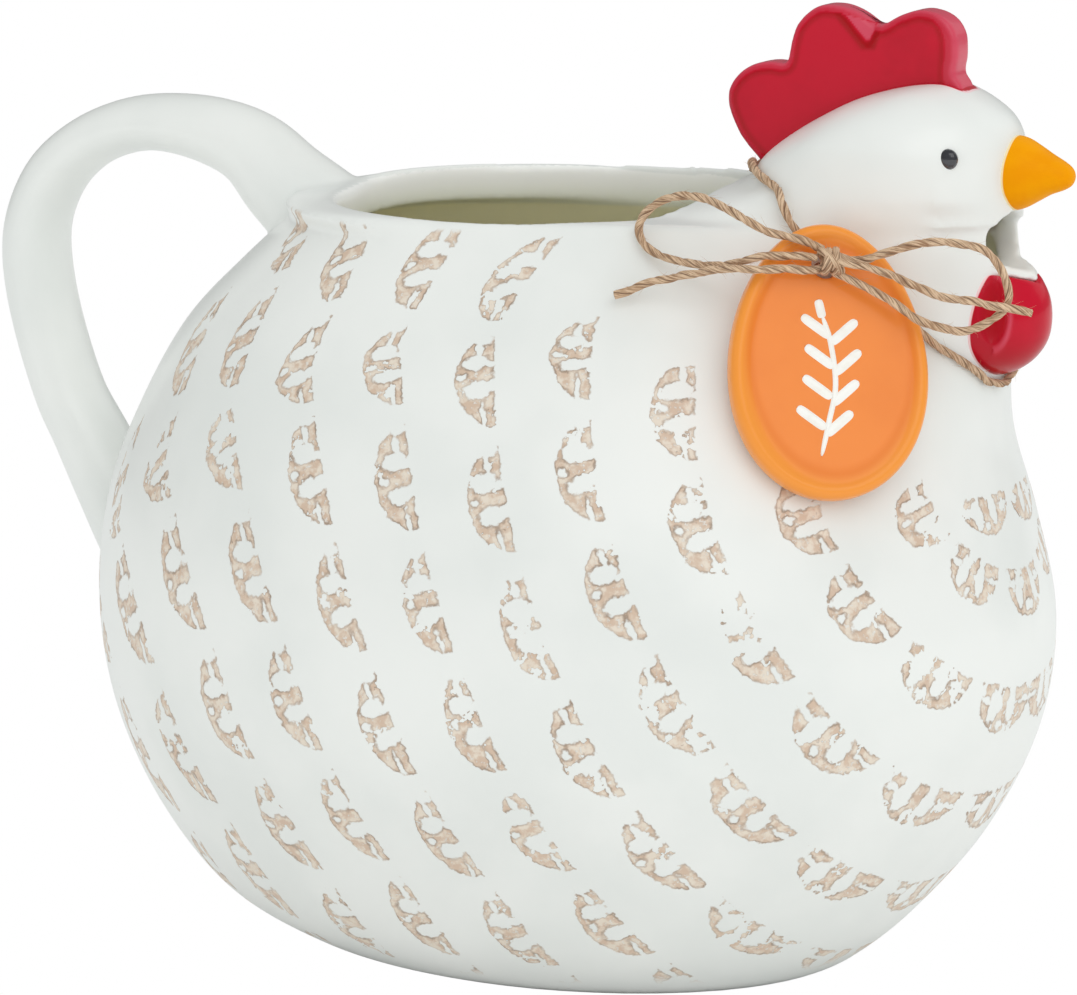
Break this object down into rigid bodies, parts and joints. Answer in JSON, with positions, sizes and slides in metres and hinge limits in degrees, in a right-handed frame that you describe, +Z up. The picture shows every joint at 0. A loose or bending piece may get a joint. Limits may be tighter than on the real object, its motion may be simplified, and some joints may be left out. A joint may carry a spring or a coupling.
{
  "type": "chicken pitcher",
  "caption": "Hen-shaped stoneware pitcher with a round belly, open back, bow handle, comb, beak, throat spout and an egg tag tied on with twine.",
  "frame": {"origin": "middle of the flat foot, on the face that stands on the table", "axes": "+X forward, from the handle to the beak; +Y to the hen's left; +Z up"},
  "size_m": [0.2643, 0.18, 0.2162],
  "materials": {
    "glaze_white": "satin off-white glaze with stamped brown half-moon feather marks",
    "glaze_red": "glossy red glaze",
    "glaze_yellow": "glossy yellow-orange glaze",
    "glaze_charcoal": "glossy charcoal glaze dot",
    "glaze_orange": "glossy orange glaze, thinner and paler on the rim",
    "jute": "natural plied jute twine with loose fibres"
  },
  "bodies": {
    "pitcher": {"body_shell": "glaze_white", "handle": "glaze_white", "comb": "glaze_red", "beak": "glaze_yellow", "wattle": "glaze_red", "eye_right": "glaze_charcoal", "eye_left": "glaze_charcoal", "twine_neck_loop": "jute", "twine_knot": "jute", "twine_loop_rear": "jute", "twine_tail_rear": "jute", "twine_loop_front": "jute", "twine_tail_front": "jute"},
    "tag_strands": {"twine_stem": "jute"},
    "tag": {"egg_tag": "glaze_orange"}
  },
  "joints": [
    {"name": "tag_lift", "type": "hinge", "parent": "pitcher", "child": "tag_strands", "pos_m": [0.06196, -0.03593, 0.16365], "axis": [-0.788, -0.6157, 0], "range_deg": [0, 8]},
    {"name": "tag_sway", "type": "hinge", "parent": "tag_strands", "child": "tag", "pos_m": [0.06196, -0.03593, 0.16365], "axis": [0.5918, -0.7575, 0.2756], "range_deg": [-15, 15]}
  ]
}
